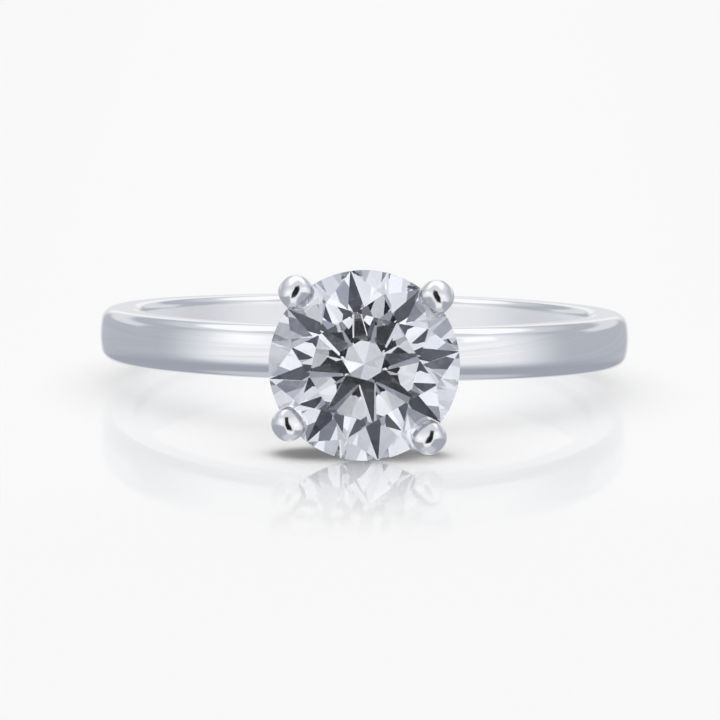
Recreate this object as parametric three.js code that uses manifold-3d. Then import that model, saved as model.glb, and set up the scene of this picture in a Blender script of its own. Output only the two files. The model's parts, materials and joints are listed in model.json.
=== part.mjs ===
// A four-claw solitaire engagement ring, lying on its side with its stone facing -Y.
// Millimetres, +Z up. It rests on the stone's girdle in front and on the shank's side at the back.
// The origin is at the bottom centre of its bounding box.

import * as THREE from "three";
import { ConvexGeometry } from "three/addons/geometries/ConvexGeometry.js";
import { mergeVertices } from "three/addons/utils/BufferGeometryUtils.js";
import Module from "manifold-3d";

const wasm = await Module();
wasm.setup();

// ---- Driving dimensions -------------------------------------------------------------------

// Shank: a low-domed hoop with flat sides and an eased inside
const FINGER_DIAMETER = 16.5;
const SHANK_THICKNESS = 1.4;
const SHANK_WIDTH = 1.9;
const DOME_RADIUS = 2.85;
const OUTER_CORNER = 0.3;
const INNER_CORNER = 0.25;

// Stone: a one-carat round brilliant
const STONE_DIAMETER = 6.5;
const GIRDLE_THICKNESS = 0.17;
const TABLE_RATIO = 0.58;
const CROWN_ANGLE = THREE.MathUtils.degToRad(34.5);
const PAVILION_ANGLE = THREE.MathUtils.degToRad(40.9);
const STAR_RATIO = 0.52;
const LOWER_HALF_RATIO = 0.77;
const STONE_TURN = THREE.MathUtils.degToRad(9);
const FOLD = 8;

// Head: a peg, a base, two gallery rails and four claws
const GIRDLE_HEIGHT = 14.5;
const BASE_TOP = 10.3;
const BASE_TOP_RADIUS = 1.42;
const BASE_FOOT_RADIUS = 0.95;
const PEG_RADIUS = 0.5;
const CLAW_AZIMUTHS = [45, 134, 218.5, 313.5].map(THREE.MathUtils.degToRad);
const CLAW_FOOT_RADIUS = 0.42;
const CLAW_TIP_RADIUS = 0.58;
const CLAW_REACH = 3.34;
const LOWER_RAIL = { bottom: 11.0, height: 0.5, inner: 0.85, width: 0.55 };
const UPPER_RAIL = { bottom: 12.3, height: 0.55, inner: 1.6, width: 0.6 };
const WIRE_SPREAD = 0.95;

// Solder gap left between neighbouring pieces
const GAP = 0.03;

// Facets along the round shapes
const HOOP_SEGMENTS = 80;
const RAIL_SEGMENTS = 48;
const WIRE_SIDES = 14;
const ARC_STEPS = 4;
const GIRDLE_STEPS = 3; // along each of the sixteen half facets
const DRILL_SIDES = 24;

// ---- Derived dimensions -------------------------------------------------------------------

const INNER_RADIUS = FINGER_DIAMETER / 2;
const OUTER_RADIUS = INNER_RADIUS + SHANK_THICKNESS;
const STONE_RADIUS = STONE_DIAMETER / 2;
const TABLE_RADIUS = STONE_RADIUS * TABLE_RATIO;
const REST_TILT = Math.atan((STONE_RADIUS - SHANK_WIDTH / 2) / (GIRDLE_HEIGHT + OUTER_RADIUS));

// ---- Materials ----------------------------------------------------------------------------

function whiteGold(name) {
  return new THREE.MeshStandardMaterial({ name, color: 0xd9dbe0, roughness: 0.12, metalness: 1 });
}

function diamondMaterial() {
  const look = { color: 0xf2f6fb, roughness: 0.02, metalness: 0 };
  return new THREE.MeshStandardMaterial({ name: "diamond", ...look });
}

// ---- Solids -------------------------------------------------------------------------------

function solidOf(geometry) {
  const bare = geometry.clone();
  bare.deleteAttribute("normal");
  bare.deleteAttribute("uv");
  const merged = mergeVertices(bare, 1e-4);
  const vertProperties = new Float32Array(merged.attributes.position.array);
  const triVerts = new Uint32Array(merged.index.array);
  return new wasm.Manifold(new wasm.Mesh({ numProp: 3, vertProperties, triVerts }));
}

function geometryOf(solid) {
  const mesh = solid.getMesh();
  const geometry = new THREE.BufferGeometry();
  geometry.setAttribute("position", new THREE.BufferAttribute(mesh.vertProperties, 3));
  geometry.setIndex(new THREE.BufferAttribute(mesh.triVerts, 1));
  geometry.computeVertexNormals();
  return geometry;
}

// A solid of revolution about Z from points (radius, height)
function turned(points, segments) {
  return new THREE.LatheGeometry(points, segments).rotateX(Math.PI / 2);
}

function arc(centreX, centreY, radius, from, to) {
  const points = [];
  for (let i = 0; i <= ARC_STEPS; i++) {
    const angle = THREE.MathUtils.lerp(from, to, i / ARC_STEPS);
    points.push(new THREE.Vector2(centreX + radius * Math.cos(angle), centreY + radius * Math.sin(angle)));
  }
  return points;
}

// ---- Shank --------------------------------------------------------------------------------

// Closed section of the hoop, from the inner bottom corner round the dome to the inner top corner
function shankSection(grow) {
  const half = SHANK_WIDTH / 2 + grow;
  const inner = INNER_RADIUS - grow;
  const domeHalfAngle = Math.asin((SHANK_WIDTH / 2 - OUTER_CORNER) / (DOME_RADIUS - OUTER_CORNER));
  const domeCentre = OUTER_RADIUS - DOME_RADIUS;
  const cornerX = domeCentre + (DOME_RADIUS - OUTER_CORNER) * Math.cos(domeHalfAngle);
  const cornerY = SHANK_WIDTH / 2 - OUTER_CORNER;
  const quarter = Math.PI / 2;
  const points = [
    ...arc(inner + INNER_CORNER, -half + INNER_CORNER, INNER_CORNER, 2 * quarter, 3 * quarter),
    ...arc(cornerX, -cornerY, OUTER_CORNER + grow, -quarter, -domeHalfAngle),
    ...arc(domeCentre, 0, DOME_RADIUS + grow, -domeHalfAngle, domeHalfAngle).slice(1, -1),
    ...arc(cornerX, cornerY, OUTER_CORNER + grow, domeHalfAngle, quarter),
    ...arc(inner + INNER_CORNER, half - INNER_CORNER, INNER_CORNER, quarter, 2 * quarter),
  ];
  return [...points, points[0].clone()];
}

function hoop(grow) {
  return solidOf(turned(shankSection(grow), HOOP_SEGMENTS));
}

// A drill through the shank's wall, along -Y
function pegDrill(gap) {
  const radius = PEG_RADIUS + gap;
  const drill = new THREE.CylinderGeometry(radius, radius, 3 * SHANK_THICKNESS, DRILL_SIDES);
  return solidOf(drill.translate(0, -(INNER_RADIUS + OUTER_RADIUS) / 2, 0));
}

// The shank, with the hole that the head's peg is soldered into
function shank() {
  return geometryOf(hoop(0).subtract(pegDrill(GAP)));
}

// ---- Stone --------------------------------------------------------------------------------

function onCircle(radius, azimuth, height) {
  return new THREE.Vector3(radius * Math.cos(azimuth), radius * Math.sin(azimuth), height);
}

// Height of the plane through three corners, above a point of the girdle's circle
function heightOnPlane(corners, azimuth) {
  const { normal, constant } = new THREE.Plane().setFromCoplanarPoints(...corners);
  const rim = onCircle(STONE_RADIUS, azimuth, 0);
  return -(normal.x * rim.x + normal.y * rim.y + constant) / normal.z;
}

// Corners of the brilliant about its girdle's centre. Crown kites and pavilion mains share azimuths.
function brilliantCorners() {
  const step = (2 * Math.PI) / FOLD;
  const halfGirdle = GIRDLE_THICKNESS / 2;
  const crown = (radius, off) => {
    return halfGirdle + (STONE_RADIUS - radius * Math.cos(off)) * Math.tan(CROWN_ANGLE);
  };
  const pavilion = (radius, off) => {
    return -halfGirdle - (STONE_RADIUS - radius * Math.cos(off)) * Math.tan(PAVILION_ANGLE);
  };
  const tableMiddle = TABLE_RADIUS * Math.cos(step / 2);
  const starRadius = THREE.MathUtils.lerp(tableMiddle, STONE_RADIUS, STAR_RATIO);
  const lowerRadius = STONE_RADIUS * (1 - LOWER_HALF_RATIO);
  const corners = [onCircle(0, 0, pavilion(0, 0))];
  for (let i = 0; i < FOLD; i++) {
    const main = STONE_TURN + i * step;
    const between = main + step / 2;
    const starTip = onCircle(starRadius, between, crown(starRadius, step / 2));
    const lowerTip = onCircle(lowerRadius, between, pavilion(lowerRadius, step / 2));
    corners.push(onCircle(TABLE_RADIUS, main, crown(TABLE_RADIUS, 0)), starTip, lowerTip);
    for (const azimuth of [main, between]) {
      corners.push(onCircle(STONE_RADIUS, azimuth, halfGirdle));
      corners.push(onCircle(STONE_RADIUS, azimuth, -halfGirdle));
    }
    // Each half facet ends at the girdle in a shallow scallop between two of those corners
    for (const mainSide of [main, main + step]) {
      for (const [tip, edge] of [[starTip, halfGirdle], [lowerTip, -halfGirdle]]) {
        const rim = [mainSide, between].map((azimuth) => onCircle(STONE_RADIUS, azimuth, edge));
        const plane = [tip, ...rim];
        for (let k = 1; k < GIRDLE_STEPS; k++) {
          const azimuth = THREE.MathUtils.lerp(between, mainSide, k / GIRDLE_STEPS);
          corners.push(onCircle(STONE_RADIUS, azimuth, heightOnPlane(plane, azimuth)));
        }
      }
    }
  }
  return corners;
}

function diamond(scale) {
  const geometry = new ConvexGeometry(brilliantCorners());
  return geometry.scale(scale, scale, scale).translate(0, 0, GIRDLE_HEIGHT);
}

// ---- Head ---------------------------------------------------------------------------------

// A round wire along a curve in the XZ plane, tapering and ending in a dome
function wire(curve, startRadius, endRadius) {
  const length = curve.getLength();
  const body = length - endRadius;
  const bodySteps = 12;
  const domeSteps = 5;
  const stations = [];
  for (let i = 0; i <= bodySteps; i++) {
    const along = (i / bodySteps) * body;
    stations.push({ along, radius: THREE.MathUtils.lerp(startRadius, endRadius, along / body) });
  }
  for (let i = 1; i < domeSteps; i++) {
    const angle = (i / domeSteps) * (Math.PI / 2);
    stations.push({ along: body + endRadius * Math.sin(angle), radius: endRadius * Math.cos(angle) });
  }
  const side = new THREE.Vector3(0, 1, 0);
  const positions = [];
  for (const { along, radius } of stations) {
    const centre = curve.getPointAt(along / length);
    const across = curve.getTangentAt(along / length).cross(side);
    for (let k = 0; k < WIRE_SIDES; k++) {
      const angle = (2 * Math.PI * k) / WIRE_SIDES;
      const point = centre.clone().addScaledVector(across, radius * Math.cos(angle));
      positions.push(point.addScaledVector(side, radius * Math.sin(angle)));
    }
  }
  const start = positions.push(curve.getPointAt(0)) - 1;
  const end = positions.push(curve.getPointAt(1)) - 1;
  return closedTube(positions, stations.length, start, end);
}

// Joins rings of WIRE_SIDES points, with a fan to the start point and one to the end point
function closedTube(positions, rings, start, end) {
  const index = [];
  const last = (rings - 1) * WIRE_SIDES;
  for (let k = 0; k < WIRE_SIDES; k++) {
    const next = (k + 1) % WIRE_SIDES;
    for (let ring = 0; ring < rings - 1; ring++) {
      const low = ring * WIRE_SIDES;
      const high = low + WIRE_SIDES;
      index.push(low + k, high + next, low + next, low + k, high + k, high + next);
    }
    index.push(start, k, next, end, last + next, last + k);
  }
  const geometry = new THREE.BufferGeometry().setFromPoints(positions);
  return geometry.setIndex(index);
}

function clawCurve() {
  const foot = BASE_TOP + GAP;
  return new THREE.CatmullRomCurve3([
    new THREE.Vector3(WIRE_SPREAD, 0, foot),
    new THREE.Vector3(1.5, 0, foot + 0.95),
    new THREE.Vector3(2.4, 0, foot + 2.4),
    new THREE.Vector3(CLAW_REACH - 0.12, 0, GIRDLE_HEIGHT - 0.5),
    new THREE.Vector3(CLAW_REACH, 0, GIRDLE_HEIGHT + 0.2),
    new THREE.Vector3(CLAW_REACH - 0.12, 0, GIRDLE_HEIGHT + 0.85),
  ]);
}

function clawBlank(grow, azimuth) {
  return solidOf(wire(clawCurve(), CLAW_FOOT_RADIUS + grow, CLAW_TIP_RADIUS + grow).rotateZ(azimuth));
}

// A claw, filed flat where it stands on the base, with the seat that the girdle sits in
function claw(azimuth) {
  const seat = solidOf(diamond(1 + GAP / STONE_RADIUS));
  const fileDepth = 1;
  const filed = new THREE.BoxGeometry(STONE_DIAMETER, STONE_DIAMETER, fileDepth);
  filed.translate(0, 0, BASE_TOP + GAP - fileDepth / 2);
  return geometryOf(clawBlank(0, azimuth).subtract(seat).subtract(solidOf(filed)));
}

// A gallery rail, let into the insides of the four claws
function galleryRail({ bottom, height, inner, width }) {
  const ease = 0.08;
  const top = bottom + height;
  const outer = inner + width;
  const section = [
    new THREE.Vector2(inner, bottom + ease),
    new THREE.Vector2(inner + ease, bottom),
    new THREE.Vector2(outer - ease, bottom),
    new THREE.Vector2(outer, bottom + ease),
    new THREE.Vector2(outer, top - ease),
    new THREE.Vector2(outer - ease, top),
    new THREE.Vector2(inner + ease, top),
    new THREE.Vector2(inner, top - ease),
    new THREE.Vector2(inner, bottom + ease),
  ];
  let ring = solidOf(turned(section, RAIL_SEGMENTS));
  for (const azimuth of CLAW_AZIMUTHS) ring = ring.subtract(clawBlank(GAP, azimuth));
  return geometryOf(ring);
}

// The head's base, saddled over the shank, with the peg that goes into the shank
function headBase() {
  const saddleBottom = INNER_RADIUS + 0.9;
  const profile = [
    new THREE.Vector2(0, INNER_RADIUS + GAP),
    new THREE.Vector2(PEG_RADIUS, INNER_RADIUS + GAP),
    new THREE.Vector2(PEG_RADIUS, saddleBottom),
    new THREE.Vector2(BASE_FOOT_RADIUS, saddleBottom),
    new THREE.Vector2(BASE_FOOT_RADIUS + 0.05, OUTER_RADIUS + 0.1),
    new THREE.Vector2(BASE_TOP_RADIUS, BASE_TOP - 0.15),
    new THREE.Vector2(BASE_TOP_RADIUS, BASE_TOP),
    new THREE.Vector2(0, BASE_TOP),
  ];
  const blank = solidOf(turned(profile, RAIL_SEGMENTS));
  const drilledHoop = hoop(GAP).subtract(pegDrill(GAP / 2));
  const saddle = drilledHoop.rotate([-90, 0, 0]);
  return geometryOf(blank.subtract(saddle));
}

// ---- Assembly -----------------------------------------------------------------------------

function named(name, geometry, material) {
  const mesh = new THREE.Mesh(geometry, material);
  mesh.name = name;
  return mesh;
}

// The head's own frame has +Z along the stone's axis and +Y along the finger's axis
function head() {
  const group = new THREE.Group();
  group.add(named("head_base", headBase(), whiteGold("head")));
  group.add(named("lower_gallery_rail", galleryRail(LOWER_RAIL), whiteGold("head")));
  group.add(named("upper_gallery_rail", galleryRail(UPPER_RAIL), whiteGold("head")));
  CLAW_AZIMUTHS.forEach((azimuth, i) => {
    group.add(named(`claw_${i + 1}`, claw(azimuth), whiteGold("head")));
  });
  group.add(named("diamond", diamond(1), diamondMaterial()));
  group.rotation.x = Math.PI / 2;
  return group;
}

// The ring about its hoop's centre, tilted so that the stone and the shank's back both touch down
function ring() {
  const tilted = new THREE.Group();
  tilted.add(named("shank", shank(), whiteGold("shank")));
  tilted.add(head());
  tilted.rotation.x = -REST_TILT;
  const part = new THREE.Group();
  part.add(tilted);
  const box = new THREE.Box3().setFromObject(part, true);
  const middle = box.getCenter(new THREE.Vector3());
  tilted.position.set(-middle.x, -middle.y, -box.min.z);
  return part;
}

export default ring();
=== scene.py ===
# %% [markdown]
# # A four-claw solitaire, lying on its side
# This lesson dresses a plain, faceted model of an engagement ring with the surfaces that a viewer
# sees. The ring lies on a glossy table top. It rests on the edge of its stone and on the back of
# its hoop, and the stone looks at the camera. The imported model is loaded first, and every piece
# below takes its place from it.

# %% The frame
import bisect
import json
import math

import bmesh
import bpy
from mathutils import Matrix, Vector


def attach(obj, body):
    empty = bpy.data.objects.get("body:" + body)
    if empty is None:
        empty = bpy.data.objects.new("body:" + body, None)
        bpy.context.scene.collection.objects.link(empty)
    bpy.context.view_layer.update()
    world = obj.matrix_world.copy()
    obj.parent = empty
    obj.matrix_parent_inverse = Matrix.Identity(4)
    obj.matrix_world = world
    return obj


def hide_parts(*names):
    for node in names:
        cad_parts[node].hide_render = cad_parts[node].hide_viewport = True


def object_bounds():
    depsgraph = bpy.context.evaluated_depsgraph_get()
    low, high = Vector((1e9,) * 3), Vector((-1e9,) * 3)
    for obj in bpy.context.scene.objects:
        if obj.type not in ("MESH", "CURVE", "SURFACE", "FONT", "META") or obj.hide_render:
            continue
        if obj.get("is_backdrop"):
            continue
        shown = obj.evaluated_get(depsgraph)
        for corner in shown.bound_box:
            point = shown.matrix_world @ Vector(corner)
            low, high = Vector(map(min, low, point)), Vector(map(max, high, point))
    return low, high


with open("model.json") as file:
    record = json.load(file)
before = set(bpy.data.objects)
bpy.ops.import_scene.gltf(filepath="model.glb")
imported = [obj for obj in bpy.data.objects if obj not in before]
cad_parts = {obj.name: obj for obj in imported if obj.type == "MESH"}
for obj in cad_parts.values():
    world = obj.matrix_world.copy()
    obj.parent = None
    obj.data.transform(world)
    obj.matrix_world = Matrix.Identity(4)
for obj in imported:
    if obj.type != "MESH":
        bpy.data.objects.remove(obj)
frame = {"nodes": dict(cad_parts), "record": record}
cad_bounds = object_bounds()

print("The model holds", ", ".join(sorted(frame["nodes"])))

# %% [markdown]
# ## Where the ring is
# A jeweller thinks of a ring from the middle of its hoop: the finger runs through it one way, and
# the stone stands off it another way. The ring here is tipped, so working in the room's own
# directions would put sines and cosines in every line. Two matrices do that once. `RING` has the
# finger along Z and the stone out along -Y, and `HEAD` has the stone out along Z. Both take
# millimetres, because a bench works in millimetres, and give metres.

# %% Two bench frames
MM = 0.001
mounts = {mount["name"]: mount for mount in frame["record"]["mounts"]}
hoop_centre = Vector(mounts["finger_hole"]["pos_m"])
finger_axis = Vector(mounts["finger_hole"]["axis"]).normalized()
REST_TILT = math.atan2(finger_axis.y, finger_axis.z)

RING = Matrix.Translation(hoop_centre) @ Matrix.Rotation(-REST_TILT, 4, "X") @ Matrix.Scale(MM, 4)
HEAD = RING @ Matrix.Rotation(math.radians(90), 4, "X")
print(f"The hoop is tipped {math.degrees(REST_TILT):.1f} degrees about its back")

# %% [markdown]
# ## The camera
# A long lens from a little above the table, as for a product picture: perspective is almost flat,
# and the near and far sides of the hoop keep the same width.

# %% Camera
CAMERA_DISTANCE = 200.0
CAMERA_ELEVATION = math.radians(9.75)
CAMERA_ROLL = math.radians(0.75)
LENS_LENGTH = 272.9
NEAR_CLIP, FAR_CLIP = 0.01, 10
AIM = Vector((-0.147, 3.006, 0.945))


def make_camera():
    camera = bpy.data.objects.new("camera", bpy.data.cameras.new("camera"))
    bpy.context.scene.collection.objects.link(camera)
    forward = Vector((0, math.cos(CAMERA_ELEVATION), -math.sin(CAMERA_ELEVATION)))
    camera.rotation_mode = "QUATERNION"
    turn = forward.to_track_quat("-Z", "Y")
    camera.rotation_quaternion = turn @ Matrix.Rotation(CAMERA_ROLL, 3, "Z").to_quaternion()
    camera.location = (AIM - forward * CAMERA_DISTANCE) * MM
    camera.data.lens = LENS_LENGTH
    camera.data.clip_start = NEAR_CLIP
    camera.data.clip_end = FAR_CLIP
    bpy.context.scene.camera = camera


make_camera()
print(f"A {LENS_LENGTH} mm lens looks down by {math.degrees(CAMERA_ELEVATION)} degrees")

# %% [markdown]
# ## Helpers for node trees
# Every material and every Geometry Nodes tree below is wired by the same two helpers: one adds a
# node and fills in its sockets, and the other feeds a socket from a value or from another node.

# %% Node helpers
def feed(tree, socket, value):
    if isinstance(value, bpy.types.NodeSocket):
        tree.links.new(value, socket)
    else:
        socket.default_value = value


def add(tree, kind, settings=None, **sockets):
    node = tree.nodes.new(kind)
    for name, value in (settings or {}).items():
        setattr(node, name, value)
    for name, value in sockets.items():
        key = int(name[1:]) if name[0] == "_" else name.replace("_", " ")
        feed(tree, node.inputs[key], value)
    return node


def maths(tree, operation, *values):
    node = add(tree, "ShaderNodeMath", {"operation": operation})
    for socket, value in zip(node.inputs, values):
        feed(tree, socket, value)
    return node.outputs[0]


print("Node helpers: feed, add, maths")

# %% [markdown]
# ## Polished metal
# Rhodium-plated white gold is a mirror, but never a perfect one. A polishing wheel leaves the
# surface very slightly wavy, and wear leaves hairlines and patches that are a touch less bright.
# These marks go in one node group, so the shank and the head share them, each with its own values.

# %% Polish marks group
def polish_marks_group():
    group = bpy.data.node_groups.new("polish marks", "ShaderNodeTree")
    new = group.interface.new_socket
    new("Place in mm", in_out="INPUT", socket_type="NodeSocketVector")
    new("Roughness", in_out="INPUT", socket_type="NodeSocketFloat").default_value = 0.05
    new("Cloudiness", in_out="INPUT", socket_type="NodeSocketFloat").default_value = 0.03
    new("Waviness", in_out="INPUT", socket_type="NodeSocketFloat").default_value = 1.0
    new("Hairlines", in_out="INPUT", socket_type="NodeSocketFloat").default_value = 0.1
    new("Roughness", in_out="OUTPUT", socket_type="NodeSocketFloat")
    new("Height", in_out="OUTPUT", socket_type="NodeSocketFloat")
    given = group.nodes.new("NodeGroupInput").outputs
    place = given["Place in mm"]
    wave = add(group, "ShaderNodeTexNoise", Vector=place, Scale=0.55, Detail=1.0)
    cloud = add(group, "ShaderNodeTexNoise", Vector=place, Scale=1.8, Detail=4.0)
    stretched = add(group, "ShaderNodeMapping", Vector=place, Scale=(0.5, 0.5, 26.0))
    hair = add(group, "ShaderNodeTexNoise", Vector=stretched.outputs[0], Scale=1.0, Detail=3.0)
    fine = maths(group, "MULTIPLY", hair.outputs["Fac"], given["Hairlines"])
    height = maths(group, "MULTIPLY_ADD", wave.outputs["Fac"], given["Waviness"], fine)
    patch = maths(group, "MULTIPLY", cloud.outputs["Fac"], given["Cloudiness"])
    roughness = maths(group, "ADD", given["Roughness"], patch)
    out = group.nodes.new("NodeGroupOutput").inputs
    feed(group, out["Roughness"], roughness)
    feed(group, out["Height"], height)
    return group


POLISH = polish_marks_group()
print("The polish marks have", len(POLISH.nodes), "nodes")

# %% Metals


def new_material(name):
    material = bpy.data.materials.new(name)
    material.use_nodes = True
    tree = material.node_tree
    tree.nodes.clear()
    return material, tree


def place_in_mm(tree):
    coordinates = add(tree, "ShaderNodeTexCoord").outputs["Object"]
    return add(tree, "ShaderNodeMapping", Vector=coordinates, Scale=(1 / MM,) * 3).outputs[0]


def polished_metal(name, colour, roughness, waviness, hairlines):
    material, tree = new_material(name)
    marks = add(tree, "ShaderNodeGroup", {"node_tree": POLISH}, Place_in_mm=place_in_mm(tree))
    marks.inputs["Roughness"].default_value = roughness
    marks.inputs["Waviness"].default_value = waviness
    marks.inputs["Hairlines"].default_value = hairlines
    bump = add(tree, "ShaderNodeBump", Height=marks.outputs["Height"], Strength=0.35, Distance=0.00001)
    shader = add(tree, "ShaderNodeBsdfPrincipled", Base_Color=(*colour, 1), Metallic=1.0)
    feed(tree, shader.inputs["Roughness"], marks.outputs["Roughness"])
    feed(tree, shader.inputs["Normal"], bump.outputs[0])
    out = tree.nodes.new("ShaderNodeOutputMaterial")
    feed(tree, out.inputs["Surface"], shader.outputs[0])
    return material


SHANK_METAL = polished_metal("shank white gold", (0.87, 0.88, 0.9), 0.05, 1.0, 0.12)
# Painted light: the bore's colour is lighter than the shank's, to brighten the hoop's inner wall.
LIGHTENED_BORE_METAL = polished_metal("bore white gold lightened", (0.95, 0.953, 0.962), 0.34, 0.5, 0.2)
HEAD_METAL = polished_metal("head white gold", (0.9, 0.905, 0.92), 0.15, 0.7, 0.05)
print("Metals:", ", ".join(metal.name for metal in (SHANK_METAL, LIGHTENED_BORE_METAL, HEAD_METAL)))

# %% [markdown]
# ## Diamond
# A diamond bends light more than any glass, with an index of 2.417, so most of the light that
# enters the top is turned round inside and comes out of the top again. The facets do that on
# their own once the shape is exact. The rim of the stone, its girdle, is left as the bruting
# wheel ground it: finely frosted.

# %% Diamond materials
DIAMOND_INDEX = 2.417


def diamond_material(name, roughness):
    material, tree = new_material(name)
    zones = add(tree, "ShaderNodeTexNoise", Vector=place_in_mm(tree), Scale=0.6, Detail=1.0)
    tint = add(tree, "ShaderNodeMix", {"data_type": "RGBA"}, Factor=zones.outputs["Fac"])
    tint.inputs[6].default_value = (1.0, 1.0, 1.0, 1)
    tint.inputs[7].default_value = (0.985, 0.992, 1.0, 1)
    shader = add(tree, "ShaderNodeBsdfPrincipled", Roughness=roughness, IOR=DIAMOND_INDEX)
    shader.inputs["Transmission Weight"].default_value = 1.0
    feed(tree, shader.inputs["Base Color"], tint.outputs[2])
    out = tree.nodes.new("ShaderNodeOutputMaterial")
    feed(tree, out.inputs["Surface"], shader.outputs[0])
    return material


DIAMOND = diamond_material("diamond", 0.0)
BRUTED = diamond_material("bruted girdle", 0.25)
print("Diamond finishes:", DIAMOND.name, "and", BRUTED.name)

# %% [markdown]
# ## Finishing a piece
# Whatever way a piece is made, it ends alike: its faces are turned outwards, its place is put in
# its mesh, it is told which body it rides on, and the plain solid that it stands for is hidden.

# %% Finishing helpers
def finish_piece(mesh, name, matrix, node, sharp_angle=None):
    work = bmesh.new()
    work.from_mesh(mesh)
    bmesh.ops.remove_doubles(work, verts=work.verts, dist=0.0005)
    bmesh.ops.recalc_face_normals(work, faces=work.faces)
    work.to_mesh(mesh)
    work.free()
    mesh.transform(matrix)
    mesh.name = name
    if sharp_angle is None:
        mesh.shade_flat()
    else:
        mesh.shade_smooth()
        mesh.set_sharp_from_angle(angle=math.radians(sharp_angle))
    piece = bpy.data.objects.new(name, mesh)
    bpy.context.scene.collection.objects.link(piece)
    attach(piece, "root")
    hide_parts(node)
    print(f"{name}: {len(mesh.polygons)} faces")
    return piece


def grown_mesh(tree, inputs):
    """The plain mesh that a Geometry Nodes tree grows from nothing."""
    holder = bpy.data.objects.new(tree.name, bpy.data.meshes.new(tree.name))
    bpy.context.scene.collection.objects.link(holder)
    modifier = holder.modifiers.new(tree.name, "NODES")
    modifier.node_group = tree
    for socket in tree.interface.items_tree:
        if socket.in_out == "INPUT" and socket.name in inputs:
            modifier[socket.identifier] = inputs[socket.name]
    ready = holder.evaluated_get(bpy.context.evaluated_depsgraph_get())
    mesh = bpy.data.meshes.new_from_object(ready)
    bpy.data.objects.remove(holder)
    return mesh


# %% [markdown]
# ## The shank
# The hoop is one wire bent to the finger's size: flat on its sides, a low dome outside, and eased
# edges inside so that it slides over a knuckle. It follows a rule, one section carried round a
# circle, so Geometry Nodes make it: a rectangle is filleted, its outer side is pushed out into the
# dome, and it is swept round a circle. The rule could also be a lathe, but here each size stays a
# named input that can be changed and seen at once.

# %% Shank sizes
SHANK = {"Bore": 16.5, "Thickness": 1.4, "Width": 1.9, "Dome": 0.155, "Edge": 0.36}


def tree_with_inputs(name, sizes):
    tree = bpy.data.node_groups.new(name, "GeometryNodeTree")
    tree.interface.new_socket("Geometry", in_out="INPUT", socket_type="NodeSocketGeometry")
    for size, value in sizes.items():
        socket = tree.interface.new_socket(size, in_out="INPUT", socket_type="NodeSocketFloat")
        socket.default_value = value
    tree.interface.new_socket("Geometry", in_out="OUTPUT", socket_type="NodeSocketGeometry")
    return tree, tree.nodes.new("NodeGroupInput").outputs


def end_tree(tree, geometry, material):
    real = add(tree, "GeometryNodeRealizeInstances", Geometry=geometry).outputs[0]
    set_material = add(tree, "GeometryNodeSetMaterial", Geometry=real, Material=material)
    out = tree.nodes.new("NodeGroupOutput")
    feed(tree, out.inputs[0], set_material.outputs[0])


def hoop_tree(name, sizes, material, around=320, section=144):
    """A domed rectangular section carried round a circle about Z."""
    tree, size = tree_with_inputs(name, sizes)
    half = maths(tree, "MULTIPLY", size["Width"], 0.5)
    flat = maths(tree, "SUBTRACT", size["Thickness"], size["Dome"])
    outline = add(tree, "GeometryNodeCurvePrimitiveQuadrilateral", Width=flat, Height=size["Width"])
    fillet = add(tree, "GeometryNodeFilletCurve", {"mode": "POLY"}, Curve=outline.outputs[0])
    feed(tree, fillet.inputs["Count"], 16)
    feed(tree, fillet.inputs["Radius"], size["Edge"])
    even = add(tree, "GeometryNodeResampleCurve", Curve=fillet.outputs[0], Count=section)
    position = tree.nodes.new("GeometryNodeInputPosition").outputs[0]
    place = add(tree, "ShaderNodeSeparateXYZ", Vector=position)
    across = maths(tree, "DIVIDE", place.outputs["Y"], half)
    crown = maths(tree, "SUBTRACT", 1.0, maths(tree, "MULTIPLY", across, across))
    outside = maths(tree, "GREATER_THAN", place.outputs["X"], 0.0)
    push = maths(tree, "MULTIPLY", maths(tree, "MULTIPLY", crown, size["Dome"]), outside)
    shift = maths(tree, "SUBTRACT", push, maths(tree, "MULTIPLY", size["Dome"], 0.5))
    offset = add(tree, "ShaderNodeCombineXYZ", X=shift)
    domed = add(tree, "GeometryNodeSetPosition", Geometry=even.outputs[0], Offset=offset.outputs[0])
    radius = maths(tree, "MULTIPLY", maths(tree, "ADD", size["Bore"], size["Thickness"]), 0.5)
    circle = add(tree, "GeometryNodeCurvePrimitiveCircle", Resolution=around, Radius=radius)
    swept = add(tree, "GeometryNodeCurveToMesh", Curve=circle.outputs[0], Profile_Curve=domed.outputs[0])
    end_tree(tree, swept.outputs[0], material)
    return tree


# %% The shank's hoop
BORE_MARGIN = 0.01
shank_mesh = grown_mesh(hoop_tree("shank hoop", SHANK, SHANK_METAL), SHANK)
# The inner faces take the bore's gold, painted lighter.
shank_mesh.materials.append(LIGHTENED_BORE_METAL)
for face in shank_mesh.polygons:
    if face.center.xy.length < SHANK["Bore"] / 2 + BORE_MARGIN:
        face.material_index = 1
shank = finish_piece(shank_mesh, "shank_hoop", RING, "shank", 40)

# %% [markdown]
# ## The diamond
# A cutter starts from a round blank and grinds 57 flat facets into it, each at its own angle. The
# same is done here: a many-sided drum is cut by one plane after another, so every facet comes out
# truly flat, and the rim keeps the fine scallops that a real girdle has. Modelling the corners by
# hand would be shorter, but facets with four corners would not be exactly flat, and a diamond shows
# that at once.

# %% Brilliant cut
STONE = {"radius": 3.25, "girdle": 0.17, "table": 0.58, "crown": 34.5, "pavilion": 40.9}
STAR_LENGTH = 0.52
LOWER_HALF_LENGTH = 0.77
STONE_TURN = 9.0
GIRDLE_HEIGHT = 14.5
FOLD = 8


def ring_point(radius, degrees, height):
    angle = math.radians(degrees)
    return Vector((radius * math.cos(angle), radius * math.sin(angle), height))


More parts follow.
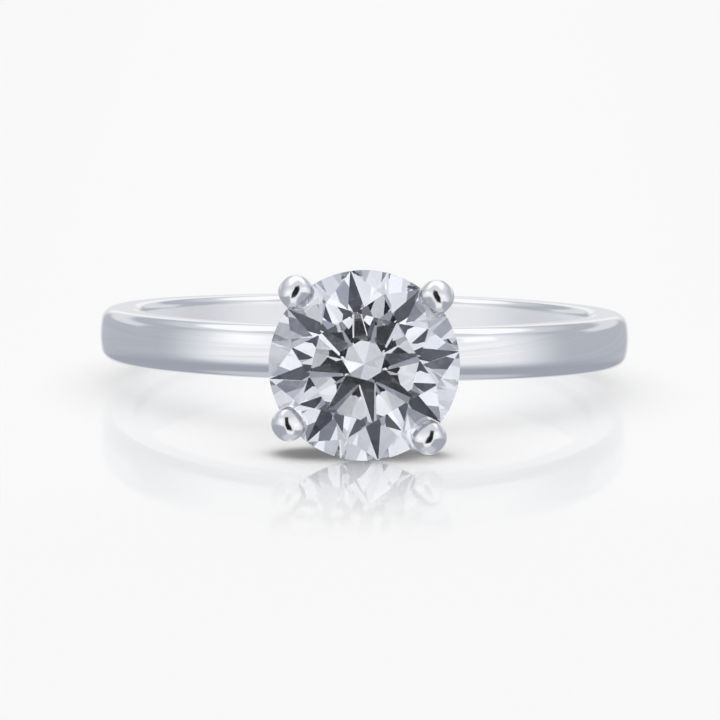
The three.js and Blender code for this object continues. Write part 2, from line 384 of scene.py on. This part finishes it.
def brilliant_planes():
    """(point, outward normal) of each facet, about the girdle's middle."""
    radius, half = STONE["radius"], STONE["girdle"] / 2
    crown, pavilion = (math.radians(STONE[side]) for side in ("crown", "pavilion"))
    table = radius * STONE["table"]
    step = 360 / FOLD
    half_step = math.radians(step / 2)
    star = table * math.cos(half_step) * (1 - STAR_LENGTH) + radius * STAR_LENGTH
    lower = radius * (1 - LOWER_HALF_LENGTH)
    table_height = half + (radius - table) * math.tan(crown)
    star_height = half + (radius - star * math.cos(half_step)) * math.tan(crown)
    lower_height = -half - (radius - lower * math.cos(half_step)) * math.tan(pavilion)
    planes = [(Vector((0, 0, table_height)), Vector((0, 0, 1)))]
    for i in range(FOLD):
        main = STONE_TURN + i * step
        between = main + step / 2
        up = ring_point(math.sin(crown), main, math.cos(crown))
        down = ring_point(math.sin(pavilion), main, -math.cos(pavilion))
        planes += [(ring_point(radius, main, half), up), (ring_point(radius, main, -half), down)]
        star_tip = ring_point(star, between, star_height)
        lower_tip = ring_point(lower, between, lower_height)
        ends = [ring_point(table, main, table_height), ring_point(table, main + step, table_height)]
        planes.append(facet_through(star_tip, *ends))
        for side in (main, main + step):
            rim = [(ring_point(radius, side, h), ring_point(radius, between, h)) for h in (half, -half)]
            planes.append(facet_through(star_tip, *rim[0]))
            planes.append(facet_through(lower_tip, *rim[1]))
    return planes


def facet_through(a, b, c):
    normal = (b - a).cross(c - a).normalized()
    return a, normal if normal.dot(a) > 0 else -normal


def cut_blank(planes, radius, sides=256, top=2.0, bottom=-3.5):
    work = bmesh.new()
    drum = {"segments": sides, "radius1": radius, "radius2": radius, "depth": top - bottom}
    bmesh.ops.create_cone(work, cap_ends=True, **drum)
    bmesh.ops.translate(work, verts=work.verts, vec=(0, 0, (top + bottom) / 2))
    for point, normal in planes:
        every = work.verts[:] + work.edges[:] + work.faces[:]
        plane = {"plane_co": point, "plane_no": normal}
        cut = bmesh.ops.bisect_plane(work, geom=every, clear_outer=True, dist=1e-5, **plane)
        edges = [item for item in cut["geom_cut"] if isinstance(item, bmesh.types.BMEdge)]
        edges = [edge for edge in edges if len(edge.link_faces) < 2]
        if edges:
            bmesh.ops.contextual_create(work, geom=edges)
    return work


def brilliant_mesh():
    work = cut_blank(brilliant_planes(), STONE["radius"])
    for face in work.faces:
        face.material_index = 1 if abs(face.normal.z) < 0.01 else 0
    mesh = bpy.data.meshes.new("diamond")
    work.to_mesh(mesh)
    facets = sum(1 for face in work.faces if face.material_index == 0)
    print(f"The brilliant has {facets} facets")
    work.free()
    mesh.materials.append(DIAMOND)
    mesh.materials.append(BRUTED)
    return mesh


diamond_mesh = brilliant_mesh()
diamond_place = HEAD @ Matrix.Translation((0, 0, GIRDLE_HEIGHT))
diamond = finish_piece(diamond_mesh, "round_brilliant", diamond_place, "diamond")

# %% [markdown]
# ## The head
# The claws are round wires that rise from a small base, spread, and end in polished beads over the
# stone's edge. Two rails tie them together.

# %% Head base
def lathe_mesh(name, outline, material, steps=96):
    """Spins an outline of (radius, height) points about Z, from axis to axis."""
    work = bmesh.new()
    verts = [work.verts.new((radius, 0, height)) for radius, height in outline]
    edges = [work.edges.new(pair) for pair in zip(verts, verts[1:])]
    geometry = verts + edges
    bmesh.ops.spin(work, geom=geometry, axis=(0, 0, 1), cent=(0, 0, 0), angle=2 * math.pi, steps=steps)
    bmesh.ops.remove_doubles(work, verts=work.verts, dist=1e-4)
    mesh = bpy.data.meshes.new(name)
    work.to_mesh(mesh)
    work.free()
    mesh.materials.append(material)
    return mesh


SOFT_ABOVE = 40  # degrees past which an edge stays sharp
PEG = [(0, 9.3), (0.95, 9.3), (1.0, 9.75), (1.15, 10.0)]
COLLAR = [(1.34, 10.12), (1.42, 10.2), (1.42, 10.26), (1.36, 10.3), (0, 10.3)]
base_mesh = lathe_mesh("head_base", PEG + COLLAR, HEAD_METAL)
finish_piece(base_mesh, "head_base_cup", HEAD, "head_base", SOFT_ABOVE)

# %% [markdown]
# ## The gallery rails
# Two small rings tie the claws together, one below the stone's point and one under its sides. They
# follow the shank's rule, a domed section round a circle, so the same tree grows them, with a
# small bore and fewer steps. A turned outline would do as well, but would repeat the rule.

# %% Gallery rails
LOWER_RAIL = {"Bore": 1.7, "Thickness": 0.55, "Width": 0.5, "Dome": 0.06, "Edge": 0.1}
UPPER_RAIL = {"Bore": 3.2, "Thickness": 0.6, "Width": 0.55, "Dome": 0.06, "Edge": 0.1}
RAILS = {"lower_gallery_rail": (LOWER_RAIL, 11.25), "upper_gallery_rail": (UPPER_RAIL, 12.575)}
for node, (sizes, middle) in RAILS.items():
    rail_mesh = grown_mesh(hoop_tree(node, sizes, HEAD_METAL, around=128, section=64), sizes)
    rail_place = HEAD @ Matrix.Translation((0, 0, middle))
    finish_piece(rail_mesh, node + "_ring", rail_place, node, SOFT_ABOVE)

# %% [markdown]
# ## The claws
# Each claw starts as a round wire. It rises from the base, spreads, and swells at the stone's edge
# into a bead that a setter has filed to a rounded square, flat towards the stone, and then polished
# to a low dome, pinched a little so that it is wider along the stone's edge. A seat is cut in each
# one for the girdle. The wire could be a curve with a bevel, but then its section could not change
# from round to square, so the rings are laid out in code along the wire's path. The seat is a
# Boolean cut with a copy of the stone, a hair larger.

# %% Claw sizes
CLAWS = ((44.5, 3.4), (133.5, 3.42), (218.5, 3.24), (313.0, 3.28))  # azimuth, reach
CLAW = {"wire": 0.42, "bead": 0.575, "dome": 0.5, "pinch": 0.36, "square_from": 14.1, "top": 15.3}
SEAT_GAP = 0.012


def claw_path(reach):
    """(radius, height) points that the wire passes through."""
    spread = [(0.95, 10.25), (1.5, 11.28), (2.4, 12.73)]
    return spread + [(reach - 0.14, 14.0), (reach, 14.75), (reach + 0.07, CLAW["top"])]


def smooth_path(points, count=400):
    ends = [points[0], *points, points[-1]]
    spans = len(points) - 1
    path = []
    for i in range(count + 1):
        along = min(i / count * spans, spans - 1e-9)
        span, t = int(along), along - int(along)
        a, b, c, d = (Vector(p) for p in ends[span : span + 4])
        bend = (2 * a - 5 * b + 4 * c - d) * t**2 + (3 * b - a - 3 * c + d) * t**3
        path.append(0.5 * (2 * b + (c - a) * t + bend))
    return path


def stations(total, dome, body_steps=44, dome_steps=18):
    """Distances along the wire: even on its body, and closer together up its dome."""
    body = [(total - dome) * i / body_steps for i in range(body_steps)]
    tip = [i / dome_steps * math.pi / 2 for i in range(dome_steps + 1)]
    return body + [total - dome + dome * math.sin(angle) for angle in tip]


# %% Claw shape
def squared(value, power):
    return math.copysign(abs(value) ** (2 / power), value)


def claw_mesh(name, reach, sides=64):
    path = smooth_path(claw_path(reach))
    lengths = [0.0]
    for a, b in zip(path, path[1:]):
        lengths.append(lengths[-1] + (b - a).length)
    total = lengths[-1]
    work = bmesh.new()
    rings = []
    for along in stations(total, CLAW["dome"]):
        i = min(max(bisect.bisect(lengths, along) - 1, 0), len(path) - 2)
        share = (along - lengths[i]) / (lengths[i + 1] - lengths[i])
        centre = path[i].lerp(path[i + 1], share)
        tangent = (path[i + 1] - path[i]).normalized()
        outwards = Vector((tangent.y, -tangent.x))
        swell = min(max((along - 0.35 * total) / (0.5 * total), 0.0), 1.0)
        radius = CLAW["wire"] + (CLAW["bead"] - CLAW["wire"]) * swell**2
        left = min((total - along) / CLAW["dome"], 1.0)
        radius *= math.sqrt(max(1 - (1 - left) ** 2.1, 0.0))
        pinch = 1 - CLAW["pinch"] * (1 - left) ** 1.5
        square = min(max((centre.y - CLAW["square_from"]) / 0.6, 0.0), 1.0)
        ring = []
        for k in range(sides):
            angle = 2 * math.pi * k / sides
            power = 2 + square * (0.2 if math.cos(angle) > 0 else 0.8)
            flat = centre + outwards * radius * pinch * squared(math.cos(angle), power)
            side = radius * squared(math.sin(angle), power)
            ring.append(work.verts.new((flat.x, side, flat.y)))
        rings.append(ring)
    for low, high in zip(rings, rings[1:]):
        for k in range(sides):
            nxt = (k + 1) % sides
            work.faces.new((low[k], low[nxt], high[nxt], high[k]))
    work.faces.new(rings[0])
    bmesh.ops.remove_doubles(work, verts=work.verts, dist=1e-4)
    bmesh.ops.recalc_face_normals(work, faces=work.faces)
    mesh = bpy.data.meshes.new(name)
    work.to_mesh(mesh)
    work.free()
    mesh.materials.append(HEAD_METAL)
    return mesh


def seat_cutter():
    work = cut_blank(brilliant_planes(), STONE["radius"])
    grown = 1 + SEAT_GAP / STONE["radius"]
    bmesh.ops.scale(work, verts=work.verts, vec=(grown,) * 3)
    bmesh.ops.translate(work, verts=work.verts, vec=(0, 0, GIRDLE_HEIGHT))
    bmesh.ops.recalc_face_normals(work, faces=work.faces)
    mesh = bpy.data.meshes.new("seat cutter")
    work.to_mesh(mesh)
    work.free()
    cutter = bpy.data.objects.new("seat cutter", mesh)
    bpy.context.scene.collection.objects.link(cutter)
    return cutter


def seated(mesh, cutter, azimuth):
    """The claw's mesh with the stone's place cut out of it."""
    claw = bpy.data.objects.new("claw blank", mesh)
    bpy.context.scene.collection.objects.link(claw)
    cutter.rotation_euler = (0, 0, -math.radians(azimuth))
    cut = claw.modifiers.new("seat", "BOOLEAN")
    cut.operation = "DIFFERENCE"
    cut.solver = "EXACT"
    cut.object = cutter
    bpy.context.view_layer.update()
    ready = claw.evaluated_get(bpy.context.evaluated_depsgraph_get())
    result = bpy.data.meshes.new_from_object(ready)
    bpy.data.objects.remove(claw)
    return result


cutter = seat_cutter()
for i, (azimuth, reach) in enumerate(CLAWS):
    name = f"claw_{i + 1}"
    turned = HEAD @ Matrix.Rotation(math.radians(azimuth), 4, "Z")
    mesh = seated(claw_mesh(name, reach), cutter, azimuth)
    finish_piece(mesh, name + "_bead", turned, name, 50)
bpy.data.objects.remove(cutter)

# %% [markdown]
# ## The table top
# The ring lies on a white, glossy sheet. A real sheet mirrors everything at this low angle, and a
# picture for a shop lets that mirror fade out. So the table mixes a matt white with a mirror, and
# the mirror's share depends on the place: it fades towards the viewer and to both sides, is weaker
# behind, and is dulled under the stone, where a shadow has to show. A black oval card close above
# the table deepens that shadow. It is a studio trick: only matt surfaces see the card.

# %% Table
TABLE_WHITE = (0.94, 0.94, 0.94, 1)
MIRROR_NEAR, MIRROR_BEHIND = 0.48, 0.26
MIRROR_FROM = -26.5 * MM
MIRROR_FULL = -11 * MM
MIRROR_SIDES = 10.5 * MM, 17 * MM
MIRROR_ROUGHNESS, EXTRA_BLUR = 0.03, 0.04
# Painted shade: under the stone the mirror's share is cut, so the table shows a darker shadow there.
SHADOW_ZONE_ACROSS = -3.5 * MM, 3.1 * MM
SHADOW_ZONE_DEEP = -12.0 * MM, -9.2 * MM
SHADOW_ZONE_EDGE = 0.9 * MM
SHADOW_MIRROR_CUT = -0.65
FLOOR_HALF = 1.5
CARD = {"along": 3.15, "deep": 1.65, "x": -0.08, "y": -10.6, "height": 0.5, "steps": 48}


def blend(tree, factor, low, high):
    node = add(tree, "ShaderNodeMix", {"data_type": "RGBA"})
    for key, value in ((0, factor), (6, low), (7, high)):
        feed(tree, node.inputs[key], value)
    return node.outputs[2]


def soft_step(tree, value, low, high, top=1.0):
    """Rises from 0 to top as the value goes from low to high, which may lie below low."""
    node = add(tree, "ShaderNodeMapRange", {"interpolation_type": "SMOOTHSTEP"}, Value=value)
    for name, number in (("From Min", low), ("From Max", high), ("To Max", top)):
        node.inputs[name].default_value = number
    return node.outputs[0]


def band(tree, value, low, high, soft):
    """1 between low and high, with soft edges."""
    rise = soft_step(tree, value, low - soft, low + soft)
    fall = soft_step(tree, value, high + soft, high - soft)
    return maths(tree, "MULTIPLY", rise, fall)


def make_floor():
    mesh = bpy.data.meshes.new("floor")
    half = FLOOR_HALF
    corners = [(-half, -half, 0), (half, -half, 0), (half, half, 0), (-half, half, 0)]
    mesh.from_pydata(corners, [], [(0, 1, 2, 3)])
    material, tree = new_material("glossy white table")
    place = add(tree, "ShaderNodeTexCoord").outputs["Object"]
    parts = add(tree, "ShaderNodeSeparateXYZ", Vector=place).outputs
    depth = parts["Y"]
    matt = add(tree, "ShaderNodeBsdfDiffuse", Color=TABLE_WHITE)
    mirror = add(tree, "ShaderNodeBsdfAnisotropic", Color=(1, 1, 1, 1))
    blur = soft_step(tree, depth, MIRROR_FULL, MIRROR_FROM, EXTRA_BLUR)
    feed(tree, mirror.inputs["Roughness"], maths(tree, "ADD", blur, MIRROR_ROUGHNESS))
    near = soft_step(tree, depth, MIRROR_FROM, MIRROR_FULL, MIRROR_NEAR)
    behind = soft_step(tree, depth, MIRROR_FULL, 0.3 * MIRROR_FULL, MIRROR_NEAR - MIRROR_BEHIND)
    share = maths(tree, "SUBTRACT", near, behind)
    beside = soft_step(tree, maths(tree, "ABSOLUTE", parts["X"]), *MIRROR_SIDES[::-1])
    share = maths(tree, "MULTIPLY", share, beside)
    # Painted shade: the mirror is cut back in the zone under the stone.
    across = band(tree, parts["X"], *SHADOW_ZONE_ACROSS, SHADOW_ZONE_EDGE)
    under = maths(tree, "MULTIPLY", across, band(tree, depth, *SHADOW_ZONE_DEEP, SHADOW_ZONE_EDGE))
    share = maths(tree, "MULTIPLY", share, maths(tree, "MULTIPLY_ADD", under, SHADOW_MIRROR_CUT, 1.0))
    mixed = add(tree, "ShaderNodeMixShader", _0=share, _1=matt.outputs[0], _2=mirror.outputs[0])
    out = tree.nodes.new("ShaderNodeOutputMaterial")
    feed(tree, out.inputs["Surface"], mixed.outputs[0])
    mesh.materials.append(material)
    floor = bpy.data.objects.new("floor", mesh)
    bpy.context.scene.collection.objects.link(floor)
    floor.visible_glossy = False
    floor.visible_transmission = False
    floor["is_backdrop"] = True


def make_shade_card():
    """A small black oval close above the table, which only matt surfaces see."""
    mesh = bpy.data.meshes.new("shade card")
    rim = []
    for i in range(CARD["steps"]):
        angle = 2 * math.pi * i / CARD["steps"]
        x = CARD["x"] + CARD["along"] * math.cos(angle)
        y = CARD["y"] + CARD["deep"] * math.sin(angle)
        rim.append(Vector((x, y, CARD["height"])) * MM)
    mesh.from_pydata(rim, [], [list(range(CARD["steps"]))])
    material, tree = new_material("black card")
    matt = add(tree, "ShaderNodeBsdfDiffuse", Color=(0.02, 0.02, 0.02, 1))
    out = tree.nodes.new("ShaderNodeOutputMaterial")
    feed(tree, out.inputs["Surface"], matt.outputs[0])
    mesh.materials.append(material)
    card = bpy.data.objects.new("shade_card", mesh)
    bpy.context.scene.collection.objects.link(card)
    for ray in ("camera", "glossy", "transmission"):
        setattr(card, "visible_" + ray, False)
    card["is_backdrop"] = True


make_floor()
make_shade_card()
print("The table's mirror ends", round(-MIRROR_FROM / MM), "mm in front of the hoop's centre")

# %% [markdown]
# ## The light tent
# Polished metal and a diamond have no look of their own: they show the room. Jewellery is shot in a
# white tent, with brighter walls in front and behind, greyer sides, a dim table edge below, and a
# hole for the lens. The tent is drawn here by elevation and azimuth, in degrees, with azimuth 0
# towards the lens. Lamps could light it, but a drawn tent has no grain and no lamp shapes.
# It is not one real room: each kind of ray is shown its own version, which only a renderer can do.
# Metal sees the walls and a tall dark lens slot. Light that leaves the stone sees a dark cone, a
# dim ring and panels, dimmer on long paths, and the stone's own surface sees the walls dimly. A
# second reflection between metals is mostly pale. Matt surfaces are lit from overhead, and the
# camera sees a plain backdrop. The walls suit this one view, so the finishes should also be judged
# in another light.

# %% Tent colours
BACKDROP = (0.94, 0.94, 0.94, 1)
FRONT_WALL = (0.95, 0.955, 0.97, 1)
SIDE_WALL = (0.49, 0.51, 0.56, 1)
BACK_WALL = (0.97, 0.97, 0.97, 1)
BACK_LOW = (0.79, 0.79, 0.81, 1)
CEILING = (0.72, 0.73, 0.76, 1)
BACK_ROOF = (0.68, 0.68, 0.71, 1)
ROOF_STRIP = (1.1, 1.1, 1.11, 1)
WINDOW = (1.12, 1.12, 1.13, 1)
TABLE_EDGE = (0.39, 0.41, 0.465, 1)
UNDERSIDE = (0.6, 0.62, 0.66, 1)
LENS = (0.012, 0.012, 0.016, 1)
FOLDS = 0.26
SIDE_FOLDS = 0.22


def times(tree, colour, by):
    node = add(tree, "ShaderNodeVectorMath", {"operation": "MULTIPLY"}, _0=colour, _1=by)
    return node.outputs[0]


def tent_walls(tree, elevation, azimuth, side):
    """The tent without its lens hole: side is the azimuth with its sign."""
    walls = blend(tree, soft_step(tree, azimuth, 58, 102), FRONT_WALL, SIDE_WALL)
    not_high = soft_step(tree, elevation, 42, 34)
    behind = maths(tree, "MULTIPLY", soft_step(tree, azimuth, 160, 171), not_high)
    low_back = band(tree, elevation, 7, 21, 3)
    above = maths(tree, "MULTIPLY", soft_step(tree, azimuth, 112, 125, 0.6), low_back)
    behind = maths(tree, "MAXIMUM", behind, above)
    skew = maths(tree, "MULTIPLY_ADD", side, -0.12, elevation)
    folds = add(tree, "ShaderNodeTexNoise", {"noise_dimensions": "1D"}, W=skew, Scale=0.4, Detail=3.0)
    depth = maths(tree, "ADD", soft_step(tree, azimuth, 78, 50, 2 * FOLDS), SIDE_FOLDS)
    ripple = maths(tree, "SUBTRACT", folds.outputs["Fac"], 0.5)
    fold = maths(tree, "MULTIPLY_ADD", ripple, depth, 1.0)
    grey = add(tree, "ShaderNodeCombineXYZ", X=fold, Y=fold, Z=fold).outputs[0]
    folded = times(tree, walls, grey)
    window = maths(tree, "MULTIPLY", band(tree, side, 45, 61, 1.5), band(tree, elevation, 15, 26, 1.5))
    glow = maths(tree, "MULTIPLY", band(tree, side, -66, -44, 10), band(tree, elevation, 8, 22, 6))
    lit = blend(tree, maths(tree, "MAXIMUM", window, glow), folded, WINDOW)
    over = blend(tree, soft_step(tree, azimuth, 112, 125), CEILING, BACK_ROOF)
    roof = maths(tree, "MULTIPLY", soft_step(tree, azimuth, 68, 76), soft_step(tree, elevation, 43, 50))
    over = blend(tree, roof, over, ROOF_STRIP)
    lit = blend(tree, soft_step(tree, elevation, 30, 42), lit, over)
    edge = maths(tree, "MULTIPLY", soft_step(tree, elevation, -11, -20), soft_step(tree, azimuth, 30, 42))
    lit = blend(tree, edge, lit, TABLE_EDGE)
    lit = blend(tree, soft_step(tree, elevation, -50, -62), lit, UNDERSIDE)
    back = blend(tree, soft_step(tree, elevation, 0, 6), BACK_LOW, BACK_WALL)
    return blend(tree, behind, lit, back)


# %% Tent
LENS_SLOT = {"half width": 24.0, "bottom": -30.0, "top": 50.0}
DARK_CONE = 17.0
DIM_RING = 23.0
DIM = (0.34, 0.35, 0.39, 1)
OVERHEAD, AROUND = 1.3, 0.6
STONE_SHADE = (0.0, 0.0, 0.0, 1)
METAL_SHADE = (1.05, 1.05, 1.06, 1)
BETWEEN_METALS = (1.08, 1.08, 1.09, 1)
BETWEEN_SHARE = 0.6
STONE_GLOSS = (0.44, 0.46, 0.56, 1)
STONE_TINT = (0.99, 1.0, 1.055, 1)
DEEP = 0.3
PANEL_SCALE, PANEL_LEAST, PANEL_RANGE = 2.6, 0.7, 0.6


def tent_direction(azimuth, elevation):
    """The unit vector towards a place on the tent, both angles in degrees."""
    turn, lift = math.radians(azimuth), math.radians(elevation)
    return Vector((math.sin(turn) * math.cos(lift), -math.cos(turn) * math.cos(lift), math.sin(lift)))


def disc(tree, direction, middle, size, soft=1.0):
    """1 within size degrees of the middle direction, with a soft rim."""
    towards = add(tree, "ShaderNodeVectorMath", {"operation": "DOT_PRODUCT"}, _0=direction, _1=middle)
    apart = maths(tree, "DEGREES", maths(tree, "ARCCOSINE", towards.outputs["Value"]))
    return soft_step(tree, apart, size + soft, size - soft)


def make_world():
    world = bpy.data.worlds.new("light tent")
    bpy.context.scene.world = world
    world.use_nodes = True
    world.cycles.sampling_method = "NONE"
    tree = world.node_tree
    tree.nodes.clear()
    direction = add(tree, "ShaderNodeTexCoord").outputs["Generated"]
    parts = add(tree, "ShaderNodeSeparateXYZ", Vector=direction).outputs
    elevation = maths(tree, "DEGREES", maths(tree, "ARCSINE", parts["Z"]))
    ahead = maths(tree, "MULTIPLY", parts["Y"], -1.0)
    side = maths(tree, "DEGREES", maths(tree, "ARCTAN2", parts["X"], ahead))
    azimuth = maths(tree, "ABSOLUTE", side)
    walls = tent_walls(tree, elevation, azimuth, side)
    slot = maths(
        tree,
        "MULTIPLY",
        soft_step(tree, azimuth, LENS_SLOT["half width"] + 1, LENS_SLOT["half width"] - 1),
        band(tree, elevation, LENS_SLOT["bottom"], LENS_SLOT["top"], 1),
    )
    seen_by_metal = blend(tree, slot, walls, LENS)
    lens = tent_direction(0, math.degrees(CAMERA_ELEVATION))
    seen_by_stone = blend(tree, disc(tree, direction, lens, DIM_RING), walls, DIM)
    seen_by_stone = blend(tree, disc(tree, direction, lens, DARK_CONE), seen_by_stone, LENS)
    path = add(tree, "ShaderNodeLightPath").outputs
    again = soft_step(tree, path["Glossy Depth"], 1.4, 1.6, BETWEEN_SHARE)
    seen_by_metal = blend(tree, again, seen_by_metal, BETWEEN_METALS)
    gloss = times(tree, seen_by_metal, STONE_GLOSS[:3])
    seen_by_metal = blend(tree, path["Is Singular Ray"], seen_by_metal, gloss)
    cells = add(tree, "ShaderNodeTexVoronoi", Vector=direction, Scale=PANEL_SCALE).outputs["Color"]
    panel = add(tree, "ShaderNodeSeparateXYZ", Vector=cells).outputs["X"]
    deep = soft_step(tree, path["Ray Depth"], 6.4, 6.6, 1 - DEEP)
    panel = maths(tree, "MULTIPLY_ADD", panel, PANEL_RANGE, PANEL_LEAST)
    dimmed = maths(tree, "MULTIPLY", panel, maths(tree, "SUBTRACT", 1.0, deep))
    grey = add(tree, "ShaderNodeCombineXYZ", X=dimmed, Y=dimmed, Z=dimmed).outputs[0]
    tinted = times(tree, grey, STONE_TINT[:3])
    seen_by_stone = times(tree, seen_by_stone, tinted)
    shaded = maths(tree, "MINIMUM", path["Diffuse Depth"], 1.0)
    through = blend(tree, shaded, seen_by_stone, STONE_SHADE)
    seen_by_metal = blend(tree, shaded, seen_by_metal, METAL_SHADE)
    lit = maths(tree, "MULTIPLY_ADD", soft_step(tree, parts["Z"], 0.55, 0.75), OVERHEAD - AROUND, AROUND)
    colour = blend(tree, path["Is Transmission Ray"], seen_by_metal, through)
    colour = blend(tree, path["Is Diffuse Ray"], colour, lit)
    colour = blend(tree, path["Is Camera Ray"], colour, BACKDROP)
    background = add(tree, "ShaderNodeBackground", Color=colour, Strength=1.0)
    out = tree.nodes.new("ShaderNodeOutputWorld")
    feed(tree, out.inputs["Surface"], background.outputs[0])


make_world()
print("The tent has", len(bpy.context.scene.world.node_tree.nodes), "nodes")

# %% [markdown]
# ## How far light is followed
# A ray turns many times inside a diamond before it comes out. Where the renderer gives up on it the
# facet goes black, so far more bounces are allowed here than glass or metal would need.

# %% Bounces
scene = bpy.context.scene
scene.view_settings.view_transform = "Standard"
scene.cycles.max_bounces = 32
scene.cycles.glossy_bounces = 24
scene.cycles.transmission_bounces = 24
scene.cycles.diffuse_bounces = 3
scene.cycles.caustics_reflective = True
scene.cycles.caustics_refractive = True

# %% [markdown]
# ## Sizes
# The pieces have to fill the same box as the plain model that they stand for. Both boxes are
# printed.

# %% Sizes
visual_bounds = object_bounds()
boxes = {"cad": cad_bounds, "visual": visual_bounds}
for name, (low, high) in boxes.items():
    print(name, "box in mm:", [round((h - l) / MM, 2) for l, h in zip(low, high)])
